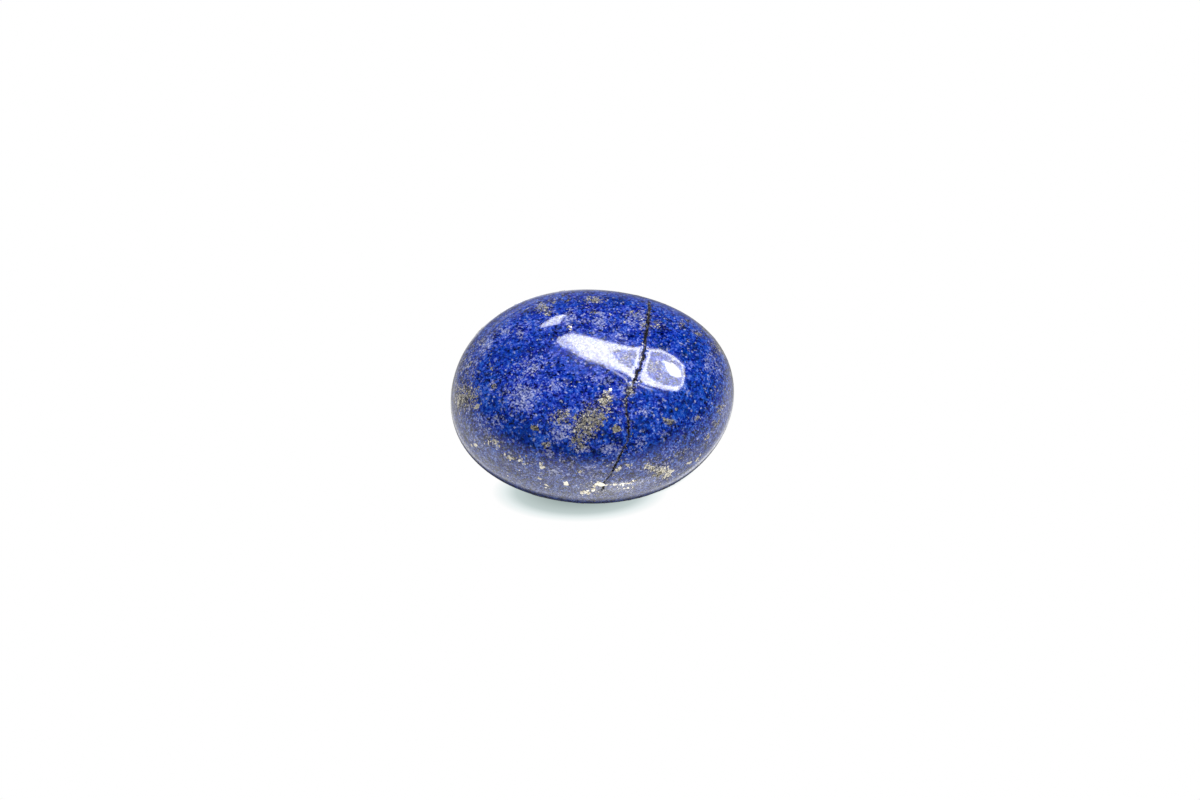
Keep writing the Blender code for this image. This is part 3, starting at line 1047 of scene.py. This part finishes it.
def floor_material():
    material, tree, _ = new_material("white_card")
    tree.nodes.clear()
    rays = add(tree, "LightPath")
    place = add(tree, "TexCoord").outputs["Object"]

    def oval(middle, half_sides):
        """0 in the middle of an oval on the card, 1 at its edge."""
        heart = (*(v * MM for v in middle), 0)
        sides = (*(v * MM for v in half_sides), 1)
        centred = add(tree, "VectorMath", {0: place, 1: heart}, operation="SUBTRACT")
        scaled = add(tree, "VectorMath", {0: centred.outputs[0], 1: sides}, operation="DIVIDE")
        return add(tree, "VectorMath", {0: scaled.outputs[0]}, operation="LENGTH").outputs["Value"]

    under = stretch(tree, oval(*BASE_SHADE), SHADE_HEART, 1.0)
    lit = math_node(tree, "MINIMUM", under, oval(*FRONT_SHADE))
    exposed = add(tree, "Emission", {"Color": ramp_node(tree, lit, SHADE_TONES)})
    matt = add(tree, "BsdfDiffuse", {"Color": MATT_GREY})
    by_camera = rays.outputs["Is Camera Ray"]
    card = add(tree, "MixShader", {0: by_camera, 1: matt.outputs[0], 2: exposed.outputs[0]})
    add(tree, "OutputMaterial", {"Surface": card.outputs[0]})
    material.cycles.emission_sampling = "NONE"
    return material


def build_floor():
    form = bmesh.new()
    bmesh.ops.create_circle(form, cap_ends=True, segments=96, radius=FLOOR_RADIUS * MM)
    mesh = bpy.data.meshes.new("white_card")
    form.to_mesh(mesh)
    form.free()
    floor = show("white_card", mesh)
    mesh.materials.append(floor_material())
    floor.visible_glossy = False
    print("the floor is", 2 * FLOOR_RADIUS, "mm across")


build_floor()

# %% [markdown]
# ## What the polish mirrors of the floor
# The card shows again in the lower half of the polish, as the grey veil over the blue. It is brightest
# in front, dim behind and dark under the overhang, which draws the fine dark line along the stone's
# lower edge. So the mirrored card is a sheet of its own that only mirrored rays see: a round net whose
# corners glow by their direction from the stone and by their ring. Ring 1 is the stone's own oval. A
# wide light has a direction, a width to either side, both in degrees, and a strength. A ring light also
# has the ring that it sits on and how far it spreads from there.

# %% Mirrored card
CARD_MIDDLE = np.array([-0.6, -0.2])
SHADE_START, SHADE_END = 0.93, 1.16
CONTACT_GLOW = 0.05
CARD_GLOW = 0.22
CARD_FADE = 250.0
WIDE_LIGHTS = ((-90.0, 90.0, 1.1), (-165.0, 45.0, 0.5))
RING_LIGHTS = (
    (-165.0, 90.0, 1.08, 0.05, 0.65),
    (-135.0, 90.0, 1.9, 0.22, 0.45),
    (-135.0, 30.0, 1.28, 0.10, 0.4),
    (-75.0, 30.0, 1.5, 0.16, 1.1),
    (-45.0, 90.0, 1.5, 0.16, 0.4),
    (-30.0, 45.0, 1.08, 0.05, 1.5),
    (-15.0, 60.0, 1.16, 0.07, 0.5),
    (0.0, 30.0, 1.7, 0.45, 0.45),
    (30.0, 45.0, 1.9, 0.22, 0.2),
    (105.0, 30.0, 1.7, 0.45, 0.4),
    (120.0, 30.0, 1.5, 0.16, 1.4),
    (120.0, 30.0, 8.0, 0.60, 0.6),
    (165.0, 30.0, 1.5, 0.16, 0.3),
)
NET_TURNS = 180
NET_RINGS = np.concatenate([np.arange(0.5, 2.0, 0.02), np.geomspace(2.0, 90.0, 40)])


def toward(angles, direction, width):
    """1 in a direction, easing to 0 at this many degrees to either side."""
    turn = np.abs((angles - direction + 180) % 360 - 180)
    return ramp(1 - turn / width)


def mirrored_glow(rings, angles, distance):
    """How brightly the mirrored card glows at these rings and directions."""
    light = np.full(len(rings), CARD_GLOW)
    for direction, width, strength in WIDE_LIGHTS:
        light += strength * toward(angles, direction, width)
    for direction, width, ring, half, strength in RING_LIGHTS:
        light += strength * toward(angles, direction, width) * np.exp(-(np.log(rings / ring) / half) ** 2)
    lit = ramp((rings - SHADE_START) / (SHADE_END - SHADE_START))
    return (CONTACT_GLOW + (light - CONTACT_GLOW) * lit) * CARD_FADE / (CARD_FADE + distance)


def glow_material():
    material, tree, _ = new_material("glowing_card")
    tree.nodes.clear()
    light = add(tree, "Emission", {"Color": (1.0, 1.0, 1.0, 1.0), "Strength": painted(tree, "glow")})
    add(tree, "OutputMaterial", {"Surface": light.outputs[0]})
    material.cycles.emission_sampling = "NONE"
    return material


glowing = glow_material()


def glowing_net(name, places, faces, glow):
    """A staged sheet that only mirrored rays see, with how brightly each of its corners glows."""
    mesh = bpy.data.meshes.new(name)
    mesh.from_pydata([Vector(place) * MM for place in places], [], faces)
    store(mesh, "glow", glow)
    mesh.materials.append(glowing)
    net = show(name, mesh)
    net.visible_camera = False
    net.visible_diffuse = False
    net.visible_shadow = False
    print(f"{name}: {len(faces)} squares")


def net_faces(rows, columns, round_trip=False):
    """The squares of a net of corners, its last column joined to the first where it goes round."""
    faces = []
    for row in range(rows - 1):
        start, outer = row * columns, (row + 1) * columns
        for column in range(columns if round_trip else columns - 1):
            after = (column + 1) % columns
            faces.append((start + column, start + after, outer + after, outer + column))
    return faces


def build_mirrored_card():
    turns = np.linspace(0, 2 * np.pi, NET_TURNS, endpoint=False)
    ring, turn = (grid.ravel() for grid in np.meshgrid(NET_RINGS, turns, indexing="ij"))
    flat = np.stack([ring * np.cos(turn) * LENGTH, ring * np.sin(turn) * WIDTH], axis=1) / 2 + CARD_MIDDLE
    angles = np.degrees(np.arctan2(flat[:, 1], flat[:, 0]))
    glow = mirrored_glow(ring, angles, np.linalg.norm(flat, axis=1))
    faces = net_faces(len(NET_RINGS), NET_TURNS, round_trip=True)
    glowing_net("mirrored_card", np.column_stack([flat, np.zeros(len(flat))]), faces, glow)


build_mirrored_card()

# %% [markdown]
# ## The room
# The room above is dark, which keeps the dome a deep blue. Only the pale foot of its walls shows in the
# polish, where it softens the upper edge of the card's reflection, and it is missing behind the stone to
# the right. A picture of a room could do the same, but two slopes of grey are enough. The camera sees
# plain white.

# %% Room
ROOM_GLOW = 0.3
ROOM_MIRROR = 0.045
WALL_MIRROR = 0.45
WALL_DIRECTION = (-0.819, -0.574, 0.0)
WALL_HEIGHT = 0.26
WALL_ENDS = (-0.6, -0.3)

world = bpy.data.worlds.new("dim_room")
world.use_nodes = True
bpy.context.scene.world = world
tree = world.node_tree
background = tree.nodes["Background"]
rays = add(tree, "LightPath")
direction = add(tree, "TexCoord").outputs["Generated"]
facing_wall = add(tree, "VectorMath", {0: direction, 1: WALL_DIRECTION}, operation="DOT_PRODUCT")
side = stretch(tree, facing_wall.outputs["Value"], *WALL_ENDS)
height = add(tree, "SeparateXYZ", {"Vector": direction}).outputs["Z"]
low_down = stretch(tree, height, WALL_HEIGHT, 0.0)
wall = times(tree, times(tree, side, low_down), WALL_MIRROR)
mirrored_room = plus(tree, ROOM_MIRROR, wall)
glow = mix_colour(tree, rays.outputs["Is Glossy Ray"], (ROOM_GLOW,) * 3 + (1.0,), mirrored_room)
glow = mix_colour(tree, rays.outputs["Is Camera Ray"], glow, (1.0, 1.0, 1.0, 1.0))
tree.links.new(glow, background.inputs["Color"])
background.inputs["Strength"].default_value = 1.0
print("the room glows", ROOM_GLOW)

# %% [markdown]
# ## Lights
# One broad soft light above and behind the stone does the lighting. It is kept out of the
# reflections, which come from glowing cards of their own. A card could be a plain square softbox, but
# the shape of each glint in the picture is known, so the card is a fine net whose corners are found
# by bouncing sight lines off the stone. How brightly each corner glows is worked out in the picture.

# %% Broad light
KEY_POWER = 3.7
KEY_SIZE = 700.0
KEY_PLACE = np.array([140.0, 160.0, 560.0])

key = bpy.data.lights.new("broad_light", "AREA")
key.shape = "DISK"
key.size = KEY_SIZE * MM
key.energy = KEY_POWER
lamp = show("broad_light", key)
lamp.location = Vector(KEY_PLACE * MM)
lamp.rotation_euler = (Vector((0, 0, 0)) - lamp.location).to_track_quat("-Z", "Y").to_euler()
lamp.visible_glossy = False
lamp.visible_camera = False
print("the broad light is", KEY_SIZE, "mm across")

# %% Glint outlines
GLINT = (
    (555.8, 341.8), (557.6, 338.7), (564.7, 335.3), (572.1, 333.9), (584.7, 335.5), (597.3, 338.5),
    (610.0, 341.3), (622.6, 344.8), (635.2, 347.3), (641.5, 347.9), (652.0, 348.4), (660.5, 348.7),
    (665.7, 351.3), (675.2, 356.6), (684.2, 365.5), (684.9, 376.6), (683.1, 386.0), (677.3, 390.8),
    (666.8, 389.7), (655.2, 386.9), (645.8, 384.4), (637.3, 378.7), (628.9, 375.0), (617.3, 370.2),
    (605.8, 366.0), (593.1, 360.2), (580.5, 355.5), (570.0, 350.2), (560.5, 347.1),
)
GLINT_CORE = (
    (565.5, 340.5), (571.0, 336.0), (584.7, 336.7), (597.3, 339.7), (610.0, 342.5), (622.6, 345.8),
    (641.5, 348.9), (652.0, 349.4), (660.5, 349.7), (665.3, 352.2), (674.5, 357.5), (683.1, 366.2),
    (683.8, 376.6), (682.0, 385.3), (677.0, 389.7), (667.0, 388.7), (655.5, 385.8), (646.2, 383.2),
    (637.8, 377.4), (629.3, 373.6), (617.8, 368.8), (606.0, 363.5), (594.0, 356.5), (583.0, 350.5),
    (573.0, 345.0),
)
LEFT_PANE = (
    (612.0, 352.5), (618.0, 350.2), (637.5, 351.4), (636.5, 366.5), (634.0, 368.0), (628.0, 366.0),
    (619.0, 361.0), (613.0, 356.5),
)
RIGHT_PANE = (
    (648.5, 352.6), (652.0, 351.8), (660.0, 352.0), (665.0, 354.2), (674.0, 359.6), (681.3, 366.6),
    (681.6, 377.0), (680.0, 385.0), (672.0, 385.5), (664.0, 384.0), (655.0, 380.0), (650.0, 376.0),
    (646.5, 371.0),
)
BRIGHT_SPOT = (
    (663.6, 360.8), (668.0, 363.0), (674.0, 365.0), (679.4, 370.2), (680.7, 376.6), (677.3, 377.6),
    (671.0, 375.5), (666.8, 370.2),
)
GLINT_SEAM = (
    (604.0, 366.0), (612.0, 370.3), (622.0, 376.0), (631.0, 382.0), (641.0, 385.5), (652.0, 389.0),
)
SMALL_GLINT = (
    (539.5, 326.6), (542.6, 323.9), (548.9, 319.7), (556.3, 316.0), (563.7, 314.3), (565.8, 315.0),
    (562.6, 317.6), (560.5, 320.8), (558.4, 323.9), (553.2, 325.0), (545.8, 326.6), (541.6, 327.3),
)
HAZE_GLOW, CORE_GLOW, PANE_GLOW, SPOT_GLOW, SEAM_GLOW, SMALL_GLOW = 5.5, 10.0, 3.1, 17.5, 4.2, 6.5
EDGE_SOFT, CORE_SOFT, PANE_SOFT, SPOT_SOFT, SEAM_SOFT = 1.5, 3.5, 2.0, 3.0, 1.5
PANE_SPREAD = 0.8


def distance_to_edges(points, route):
    """Distance in pixels from each point to a route of straight pieces."""
    return distance_to_line(points, np.array(route), np.zeros(len(route)))[0]


def depth_inside(points, outline):
    """Pixels from the outline's edge, positive inside it."""
    inside = np.zeros(len(points), dtype=bool)
    closed = outline + outline[:1]
    for (x0, y0), (x1, y1) in zip(closed, closed[1:]):
        crosses = (y0 > points[:, 1]) != (y1 > points[:, 1])
        with np.errstate(divide="ignore", invalid="ignore"):
            crossing = x0 + (x1 - x0) * (points[:, 1] - y0) / (y1 - y0)
        inside ^= crosses & (points[:, 0] < crossing)
    return np.where(inside, 1, -1) * distance_to_edges(points, closed)


def within(points, outline, soft, spread=0.0):
    """1 inside an outline widened by a spread, 0 outside it, with a soft edge, all in pixels."""
    return ramp((depth_inside(points, outline) + spread) / soft + 0.5)


def main_glow(points):
    """How brightly the main glint's card glows where it shows at these pixels."""
    glow = HAZE_GLOW * within(points, GLINT, EDGE_SOFT)
    glow += (CORE_GLOW - HAZE_GLOW) * within(points, GLINT_CORE, CORE_SOFT)
    for pane in (LEFT_PANE, RIGHT_PANE):
        share = within(points, pane, PANE_SOFT, PANE_SPREAD)
        glow = glow * (1 - share) + PANE_GLOW * share
    share = within(points, BRIGHT_SPOT, SPOT_SOFT)
    glow = glow * (1 - share) + SPOT_GLOW * share
    return np.maximum(glow, SEAM_GLOW * ramp(SEAM_SOFT - distance_to_edges(points, GLINT_SEAM)))


def small_glow(points):
    """How brightly the small glint's card glows where it shows at these pixels."""
    return SMALL_GLOW * within(points, SMALL_GLINT, EDGE_SOFT)


print(f"the main glint's outline has {len(GLINT)} corners and the small one's {len(SMALL_GLINT)}")


# %% Glint cards
CARD_DISTANCE = 300.0
NET_STEP = 0.6
NET_MARGIN = 2.0


def bounce(x, y):
    """A place on the mirrored sight line, at the card's distance from the stone."""
    spot, outward = meet_stone(x, y)
    line = sight_line(x, y)
    return spot + CARD_DISTANCE * (line - 2 * (line @ outward) * outward)


def glint_card(name, outline, glow):
    """A card whose mirror image in the stone glows by the given rule at each pixel."""
    corners = np.array(outline)
    low, high = corners.min(axis=0) - NET_MARGIN, corners.max(axis=0) + NET_MARGIN
    columns, rows = (int(math.ceil(side / NET_STEP)) + 1 for side in high - low)
    across, down = np.meshgrid(np.linspace(low[0], high[0], columns), np.linspace(low[1], high[1], rows))
    net = np.stack([across.ravel(), down.ravel()], axis=1)
    glowing_net(name, [bounce(x, y) for x, y in net], net_faces(rows, columns), glow(net))


glint_card("main_glint_card", GLINT + GLINT_SEAM, main_glow)
glint_card("small_glint_card", SMALL_GLINT, small_glow)
